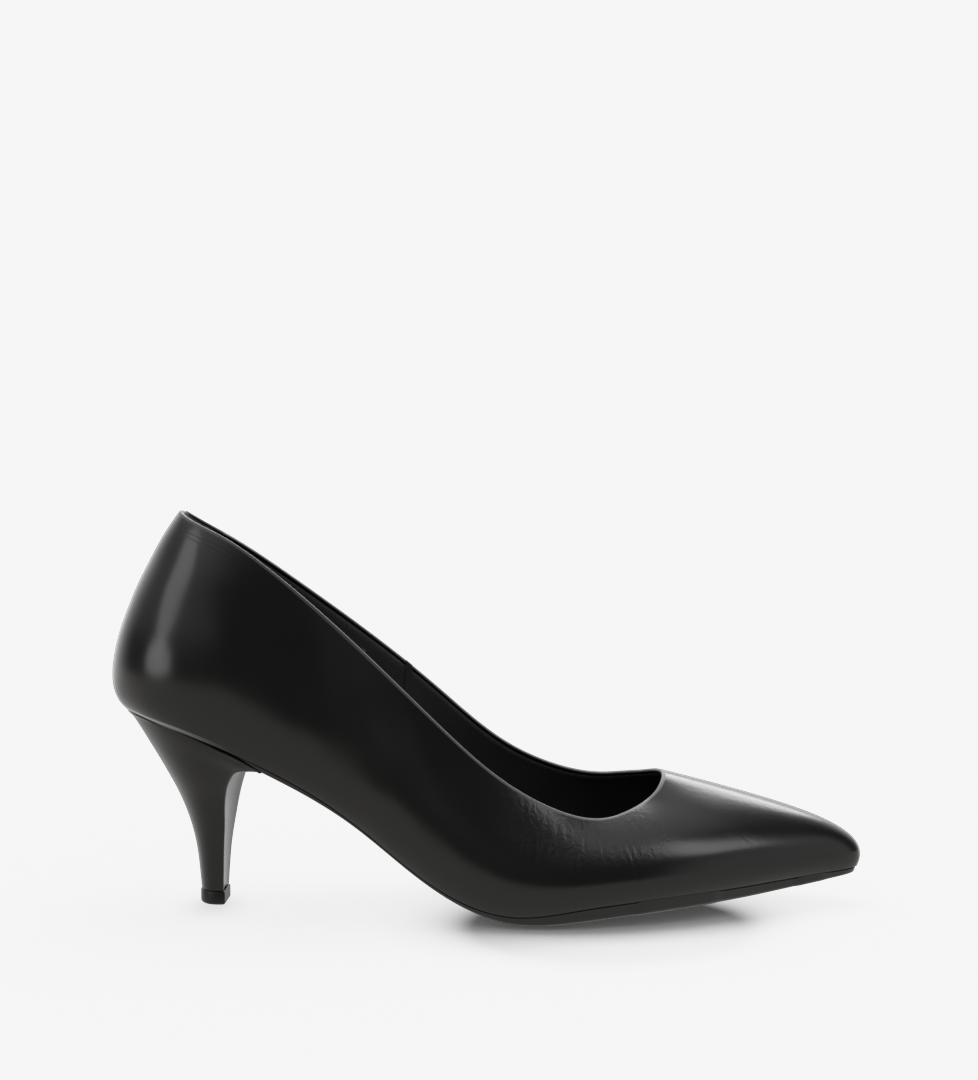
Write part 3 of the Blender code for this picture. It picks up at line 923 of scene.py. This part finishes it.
def make_lining_seams():
    """The two seams that join the lining's quarters to its front, standing a little over the rim."""
    shape = bmesh.new()
    for seam in LINING_SEAMS:
        where = seam.place * LAST.girth + np.linspace(-0.5, 0.5, SEAM_COLUMNS) * seam.width
        bottom = np.full(len(where), SEAM_DEPTH)
        strip = inner_patch("seam", where, seam.over, bottom, SEAM_THICKNESS)
        shape.from_mesh(strip.data)
        bpy.data.objects.remove(strip)
    return settle("lining_seams", meshed("lining_seams", shape), SHARP)


class Wire:
    """One output of a node, so that shader maths reads as plain sums."""

    def __init__(self, recipe, socket):
        self.recipe = recipe
        self.socket = socket

    def maths(self, operation, first, second):
        return self.recipe.node("Math", {"operation": operation}, {0: first, 1: second})

    def __add__(self, other):
        return self.maths("ADD", self, other)

    def __sub__(self, other):
        return self.maths("SUBTRACT", self, other)

    def __rsub__(self, other):
        return self.maths("SUBTRACT", other, self)

    def __mul__(self, other):
        return self.maths("MULTIPLY", self, other)

    __radd__ = __add__
    __rmul__ = __mul__


class Recipe:
    """A node tree that is written one node at a time."""

    def __init__(self, tree):
        self.tree = tree

    def node(self, kind, settings=None, sockets=None, output=0):
        """Adds a shader node, sets its settings and then its sockets, and gives back one of its outputs."""
        made = self.tree.nodes.new("ShaderNode" + kind)
        for name, value in (settings or {}).items():
            setattr(made, name, value)
        for name, value in (sockets or {}).items():
            self.feed(made.inputs[name], value)
        return Wire(self, made.outputs[output])

    def feed(self, socket, value):
        """Sets a socket to a value, or links it to a wire."""
        if isinstance(value, Wire):
            self.tree.links.new(value.socket, socket)
        else:
            socket.default_value = value

    def ramp(self, value, low, high, bottom=0.0, top=1.0, way="LINEAR"):
        """value carried from bottom at low to top at high, and held there."""
        sockets = {"Value": value, "From Min": low, "From Max": high, "To Min": bottom, "To Max": top}
        return self.node("MapRange", {"interpolation_type": way}, sockets)

    def smooth(self, *run):
        """A ramp with eased ends."""
        return self.ramp(*run, way="SMOOTHSTEP")

    def window(self, value, start, stop, soft):
        """1 where value lies between start and stop, fading to 0 over the soft distance outside them."""
        return self.smooth(value, start - soft, start) * (1.0 - self.smooth(value, stop, stop + soft))

    def parts(self, vector, names):
        """The named parts of a vector."""
        return [self.node("SeparateXYZ", None, {0: vector}, name) for name in names]

    def noise(self, place, scale, detail=2.0, distortion=0.0):
        """Soft cloud noise around one half."""
        sockets = {"Vector": place, "Scale": scale, "Detail": detail, "Distortion": distortion}
        return self.node("TexNoise", None, sockets)

    def reach(self, vector):
        """How long a vector is."""
        return self.node("VectorMath", {"operation": "LENGTH"}, {0: vector}, "Value")

    def colours(self, share, first, second):
        """A colour mixed from first to second by share. Each is a colour or a wire."""
        pair = [colour if isinstance(colour, Wire) else (*colour, 1.0) for colour in (first, second)]
        return self.node("Mix", {"data_type": "RGBA"}, {0: share, 6: pair[0], 7: pair[1]}, 2)


class Finish(Recipe):
    """A material whose sockets are fed by a recipe."""

    def __init__(self, name, **constants):
        self.material = bpy.data.materials.new(name)
        self.material.use_nodes = True
        super().__init__(self.material.node_tree)
        self.shader = self.tree.nodes["Principled BSDF"]
        for socket, value in constants.items():
            self.shader.inputs[socket.replace("_", " ")].default_value = value

    def paint(self, **sockets):
        """Feeds the shader's sockets, and takes relief in millimetres as a bump."""
        relief = sockets.pop("relief", None)
        if relief is not None:
            bump = {"Strength": 1.0, "Distance": MM, "Height": relief}
            sockets["Normal"] = self.node("Bump", None, bump)
        for socket, value in sockets.items():
            self.feed(self.shader.inputs[socket.replace("_", " ")], value)
        return self.material

    def place(self):
        """The piece's own coordinates, in metres."""
        return self.node("TexCoord", None, None, "Object")

    def clouds(self, place, size, detail=2.0, distortion=0.0):
        """Soft noise of a size in millimetres."""
        return self.noise(place, 1.0 / (size * MM), detail, distortion)

    def cells(self, place, size, soft=0.4):
        """Rounded grain cells of a size in millimetres: 0 in the middle of a cell, growing to its edge."""
        sockets = {"Vector": place, "Scale": 1.0 / (size * MM), "Smoothness": soft}
        return self.node("TexVoronoi", {"feature": "SMOOTH_F1"}, sockets)

    def grain(self, place, cell, speck):
        """Fine leather grain of the given sizes: its relief, and the specks in it."""
        specks = self.clouds(place, speck)
        return GRAIN_DEPTH * (1.0 - self.cells(place, cell)) + SPECK_DEPTH * specks, specks

    def tones(self, share, tone, ends):
        """A colour mixed by share between the darkest and palest shares of a tone."""
        return self.colours(share, *([part * tone for part in end] for end in ends))


def round_places(shares):
    """Shares of the way round the shoe as millimetres."""
    return [share * LAST.girth for share in shares]


def upper_finish():
    """Smooth black leather: fine grain, flexing marks under the throat, painted highlights at the rim and
    heel.
    """
    finish = Finish("smooth_leather", IOR=1.45)
    place = finish.place()
    plan, foot_plan = (finish.node("UVMap", {"uv_map": name}) for name in ("RimMap", "FootMap"))
    round_way, up_way = finish.parts(plan, "XY")
    above_foot = finish.parts(foot_plan, "Y")[0]
    side = round_way.maths("MINIMUM", round_way, LAST.girth - round_way)
    flex = finish.window(side, *round_places(FLEX_ROUND), FLEX_SOFT)
    flex = flex * finish.window(0.0 - up_way, *FLEX_BAND)
    toe = finish.smooth(side, *round_places(TOE_ROUND))
    fold = finish.window(up_way, *FOLD_BAND)
    drawn = finish.node("Mapping", None, {"Vector": plan, "Scale": FLEX_STRETCH})
    lines = finish.noise(drawn, 1.0, 1.0, 1.2)
    mottle = finish.clouds(place, 1.7, 1.0, 0.6)
    cloud = finish.clouds(place, 22.0)
    relief, fine = finish.grain(place, 0.62, 0.35)
    relief = relief + flex * (LINE_DEPTH * lines + MOTTLE_DEPTH * mottle) + TOE_MOTTLE_DEPTH * toe * mottle
    for line in PRESSED_LINES:
        run = round_places((line.start, line.stop))
        drop = finish.ramp(round_way, *run, line.first_drop, line.last_drop)
        held = finish.window(round_way, *run, PRESSED_SOFT) * (0.2 + 1.6 * mottle)
        relief = relief - line.depth * held * finish.window(up_way + drop, *PRESSED_BAND)
    roughness = 0.215 + 0.08 * (cloud - 0.5) + 0.05 * (fine - 0.5) + 0.07 * flex + 0.22 * fold
    base = finish.colours(cloud, (0.0012, 0.0012, 0.0012), (0.0022, 0.0022, 0.0021))
    # Painted highlight: a paler base colour on the fold at the rim, fainter round the back.
    fold_highlight = fold * finish.smooth(side, *round_places(FOLD_HIGHLIGHT_ROUND), 0.6, 1.0)
    base = finish.colours(fold_highlight, base, FOLD_PAINTED_HIGHLIGHT)
    # Painted highlight: a paler base colour along the upper's lower edge over the heel, fading out along
    # the sides.
    seat_highlight = finish.window(above_foot, *SEAT_HIGHLIGHT_BAND) * finish.smooth(side, *SEAT_HIGHLIGHT_FADE, 1.0, 0.0)
    base = finish.colours(seat_highlight, base, SEAT_PAINTED_HIGHLIGHT)
    return finish.paint(Base_Color=base, Roughness=roughness, relief=relief)


def heel_finish():
    """Heel cover: the same leather stretched smooth over the block."""
    finish = Finish("heel_leather", IOR=1.42)
    place = finish.place()
    relief, fine = finish.grain(place, 0.55, 0.3)
    cloud = finish.clouds(place, 16.0)
    base = finish.colours(cloud, (0.0016, 0.0016, 0.0015), (0.0028, 0.0027, 0.0026))
    roughness = 0.27 + 0.10 * (cloud - 0.5) + 0.05 * (fine - 0.5)
    return finish.paint(Base_Color=base, Roughness=roughness, relief=relief)


def lining_finish(name, pore, depth, tone):
    """Matt lining leather of about the given tone, with open pores of a size and depth in millimetres."""
    finish = Finish(name, IOR=1.4)
    place = finish.place()
    pores = finish.cells(place, pore)
    cloud = finish.clouds(place, 14.0, 3.0)
    base = finish.tones(cloud, tone, LINING_TONES)
    roughness = 0.66 + 0.16 * (cloud - 0.5)
    return finish.paint(Base_Color=base, Roughness=roughness, relief=depth * (1.0 - pores))


def nap_finish():
    """Black suede: short brushed nap."""
    finish = Finish("suede", IOR=1.35, Sheen_Weight=0.15, Sheen_Roughness=0.5)
    place = finish.place()
    nap = finish.clouds(place, 0.4, 4.0, 0.8)
    brushed = finish.clouds(place, 7.0, 3.0, 0.5)
    base = finish.colours(brushed, (0.0040, 0.0040, 0.0042), (0.0110, 0.0108, 0.0108))
    return finish.paint(Base_Color=base, Roughness=0.8 + 0.3 * (nap - 0.5), relief=0.06 * nap)


def rubber_finish(name, sheen, tone, roughness, pebble):
    """Moulded black rubber with a fine pebble. sheen is its refractive index."""
    finish = Finish(name, IOR=sheen)
    place = finish.place()
    pebbles = finish.cells(place, pebble)
    cloud = finish.clouds(place, 12.0, 3.0)
    base = finish.tones(cloud, tone, RUBBER_TONES)
    gloss = roughness + 0.14 * (cloud - 0.5)
    return finish.paint(Base_Color=base, Roughness=gloss, relief=0.015 * (1.0 - pebbles))


def thread_finish():
    """Black polyester thread."""
    finish = Finish("thread", IOR=1.5)
    place = finish.place()
    twist = finish.clouds(place, 0.25, 1.0)
    base = finish.colours(twist, (0.006, 0.006, 0.006), (0.020, 0.020, 0.020))
    return finish.paint(Base_Color=base, Roughness=0.45 + 0.2 * (twist - 0.5))


# Every piece: its finish, a slot name, and the node that it stands for, if any.
Piece = namedtuple("Piece", "made finish slot stands_for")
PIECES = (
    Piece(make_leather(), upper_finish(), "upper_leather", "upper"),
    Piece(make_lining(), lining_finish("lining_leather", 0.8, 0.025, 0.02), "sock_lining", "upper"),
    Piece(make_heel_grip(), nap_finish(), "sock_lining", None),
    Piece(make_lining_seams(), lining_finish("seam_leather", 0.5, 0.02, 0.02), "sock_lining", None),
    Piece(make_stitches(), thread_finish(), "sock_lining", None),
    Piece(make_insole(), lining_finish("sock_leather", 1.0, 0.03, 0.006), "sock_lining", "insole"),
    Piece(make_sole(), rubber_finish("sole_rubber", 1.44, 0.002, 0.34, 0.9), "sole_rubber", "outsole"),
    Piece(make_heel(), heel_finish(), "heel_cover", "heel"),
    Piece(make_lift(), rubber_finish("lift_rubber", 1.36, 0.002, 0.45, 0.7), "lift_rubber", "top_lift"),
)
for piece in PIECES:
    piece.made.data.materials.append(piece.finish)
    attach(piece.made, "root")
    if piece.stands_for:
        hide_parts(piece.stands_for)


# Studio: soft boxes in metres, with the radiance of each, and the brightness of the surroundings.
SoftBox = namedtuple("SoftBox", "name shape place target size radiance in_gloss")
SOFT_BOXES = (
    SoftBox("top_box", "RECTANGLE", (0.0, 0.30, 1.0), (0.0, 0.1, 0.0), (1.0, 0.8), 4.5, False),
    SoftBox("back_box", "RECTANGLE", (0.10, 0.89, 0.90), (0.07, 0.0, 0.03), (1.30, 0.46), 6.8, True),
    SoftBox("heel_box", "ELLIPSE", (-0.94, -0.46, 0.66), (-0.1, 0.0, 0.1), (0.52, 0.84), 2.3, True),
    SoftBox("heel_low_box", "ELLIPSE", (-1.07, -0.525, 0.17), (-0.1, 0.0, 0.1), (0.60, 0.28), 3.4, True),
    SoftBox("toe_box", "ELLIPSE", (0.67, -0.36, 0.78), (0.07, 0.0, 0.03), (0.25, 0.60), 4.2, True),
)
BACKDROP = 0.921
FILL = 0.9

# What the gloss mirrors. Each glow changes along one part of the direction (X towards the toe, Y away from
# the camera, Z up) between a first and a second edge, and has a value at each.
MIRRORED_FRONT = 0.15
MIRRORED_ABOVE = 1.2
GROUND_TINT = (1.0, 0.98, 0.91)
Glow = namedtuple("Glow", "way first second at_first at_second")
GLOWS = {
    "ground": Glow("Z", -0.09, -0.05, 1.0, 0.0),
    "table": Glow("Y", -0.4, 0.2, 0.80, 0.85),
    "far_ground": Glow("Z", -0.35, -0.1, 0.0, 0.65),
    "heel_side": Glow("X", -0.45, 0.05, 0.45, 0.0),
    "heel_side_rise": Glow("Z", 0.08, 0.35, 0.0, 1.0),
    "toe_side": Glow("X", 0.62, 0.82, 0.0, 0.7),
    "toe_side_depth": Glow("Y", -0.2, 0.05, 1.0, 0.0),
    "high": Glow("X", -0.1, 0.3, 0.6, 0.0),
    "high_rise": Glow("Z", 0.5, 0.8, 0.0, 1.0),
    "behind": Glow("Y", 0.22, 0.9, 0.0, 1.0),
    "back": Glow("Z", 0.1, 0.5, 1.5, 2.2),
    "above": Glow("Z", 0.82, 0.93, 0.0, 1.0),
}

# Floor, in metres, with its glow, which only the camera sees and which lightens the shadow, and patches of
# painted shade, where the glow is lowered to deepen the shadow: the middle of each, its half sizes, the
# glow left in it, and its fade as shares of those sizes.
FLOOR_RADIUS = 1.6
FLOOR_WALL = 3.0
FLOOR_FADE = (0.35, 0.8)
FLOOR_GLOW = 15.0
FLOOR_TONE = (0.80, 0.80, 0.79)
ShadePatch = namedtuple("ShadePatch", "place size glow fade")
SHADE_PATCHES = (
    ShadePatch((0.0385, -0.030, 0.0), (0.056, 0.053, 1.0), 0.06, (0.75, 1.45)),
    ShadePatch((-0.090, -0.002, 0.0), (0.010, 0.016, 1.0), 4.0, (0.2, 1.8)),
)

# The camera, at the photograph's angle: lens and sensor in millimetres, place in metres, dip in degrees.
CAMERA_LENS = 88.0
CAMERA_SENSOR = 36.0
CAMERA_PLACE = (0.000476, -0.84909, 0.212)
CAMERA_DIP = 6.17


def soft_box(box):
    """A soft box of the given width and height, aimed at its target."""
    light = bpy.data.lights.new(box.name, "AREA")
    light.shape = box.shape
    light.size, light.size_y = box.size
    full = 1.0 if box.shape == "RECTANGLE" else math.pi / 4.0
    light.energy = box.radiance * math.pi * full * box.size[0] * box.size[1]
    lamp = bpy.data.objects.new(box.name, light)
    lamp.location = box.place
    aim = Vector(box.target) - Vector(box.place)
    lamp.rotation_euler = aim.to_track_quat("-Z", "Y").to_euler()
    lamp.visible_camera = False
    lamp.visible_glossy = box.in_gloss
    lamp.visible_diffuse = not box.in_gloss
    bpy.context.scene.collection.objects.link(lamp)


def make_floor():
    """A wide pale floor with a wall round it that takes the shadow. A glow that only the camera sees
    lightens the shadow, save in patches where it is lowered to paint deeper shade.
    """
    shape = bmesh.new()
    rim = bmesh.ops.create_circle(shape, cap_ends=True, segments=96, radius=FLOOR_RADIUS)["verts"]
    edges = {edge for vert in rim for edge in vert.link_edges}
    raised = bmesh.ops.extrude_edge_only(shape, edges=list(edges))["geom"]
    wall_top = [part for part in raised if isinstance(part, bmesh.types.BMVert)]
    bmesh.ops.translate(shape, verts=wall_top, vec=(0.0, 0.0, FLOOR_WALL))
    floor = settle("floor", meshed("floor", shape))
    floor.is_shadow_catcher = True
    floor.visible_glossy = False
    floor.visible_diffuse = False
    floor.visible_shadow = False
    finish = Finish("pale_floor", Specular_IOR_Level=0.0, Emission_Strength=1.0)
    seen = finish.node("LightPath", None, None, "Is Camera Ray")
    place = finish.place()
    glow = seen * FLOOR_GLOW
    # Painted shade: the glow is lowered in each patch, which deepens the shoe's shadow there.
    for shade_patch in SHADE_PATCHES:
        spot = {"Vector": place, "Location": shade_patch.place, "Scale": shade_patch.size}
        off = finish.reach(finish.node("Mapping", {"vector_type": "TEXTURE"}, spot))
        glow = glow * finish.smooth(off, *shade_patch.fade, shade_patch.glow / FLOOR_GLOW, 1.0)
    held = finish.smooth(finish.reach(place), *FLOOR_FADE, 1.0, 0.0)
    shade = finish.colours(held, (0.0, 0.0, 0.0), FLOOR_TONE)
    floor.data.materials.append(finish.paint(Base_Color=shade, Emission_Color=glow))


def make_world():
    """Pale surroundings: bright behind the shoe, dark on the camera's side, so that the gloss has form."""
    world = bpy.data.worlds.new("studio")
    bpy.context.scene.world = world
    world.use_nodes = True
    recipe = Recipe(world.node_tree)
    direction = recipe.node("TexCoord", None, None, "Generated")
    ways = dict(zip("XYZ", recipe.parts(direction, "XYZ")))
    glow = {name: recipe.smooth(ways[way], *run) for name, (way, *run) in GLOWS.items()}
    rays = ("Is Camera Ray", "Is Diffuse Ray")
    seen, lit = (recipe.node("LightPath", None, None, name) for name in rays)
    mirrored = (1.0 - seen) * (1.0 - lit)
    ground = mirrored * glow["ground"]
    room = MIRRORED_FRONT + glow["heel_side"] * glow["heel_side_rise"]
    room = room + glow["toe_side"] * glow["toe_side_depth"] + glow["high"] * glow["high_rise"]
    room = room + glow["behind"] * (glow["back"] - room)
    room = room + glow["above"] * (MIRRORED_ABOVE - room)
    table = glow["table"] + glow["behind"] * glow["far_ground"]
    strength = seen * BACKDROP + lit * FILL + ground * table + (mirrored - ground) * room
    tint = recipe.colours(ground * (1.0 - glow["behind"]), (1.0, 1.0, 1.0), GROUND_TINT)
    background = world.node_tree.nodes["Background"]
    recipe.feed(background.inputs["Color"], tint)
    recipe.feed(background.inputs["Strength"], strength)


def make_camera():
    """The scene's camera."""
    lens = bpy.data.cameras.new("camera")
    lens.lens = CAMERA_LENS
    lens.sensor_width = CAMERA_SENSOR
    camera = bpy.data.objects.new("camera", lens)
    camera.location = CAMERA_PLACE
    camera.rotation_euler = (math.radians(90.0 - CAMERA_DIP), 0.0, 0.0)
    bpy.context.scene.collection.objects.link(camera)
    bpy.context.scene.camera = camera


for box in SOFT_BOXES:
    soft_box(box)
make_floor()
make_world()
make_camera()
bpy.context.scene.view_settings.view_transform = "Standard"
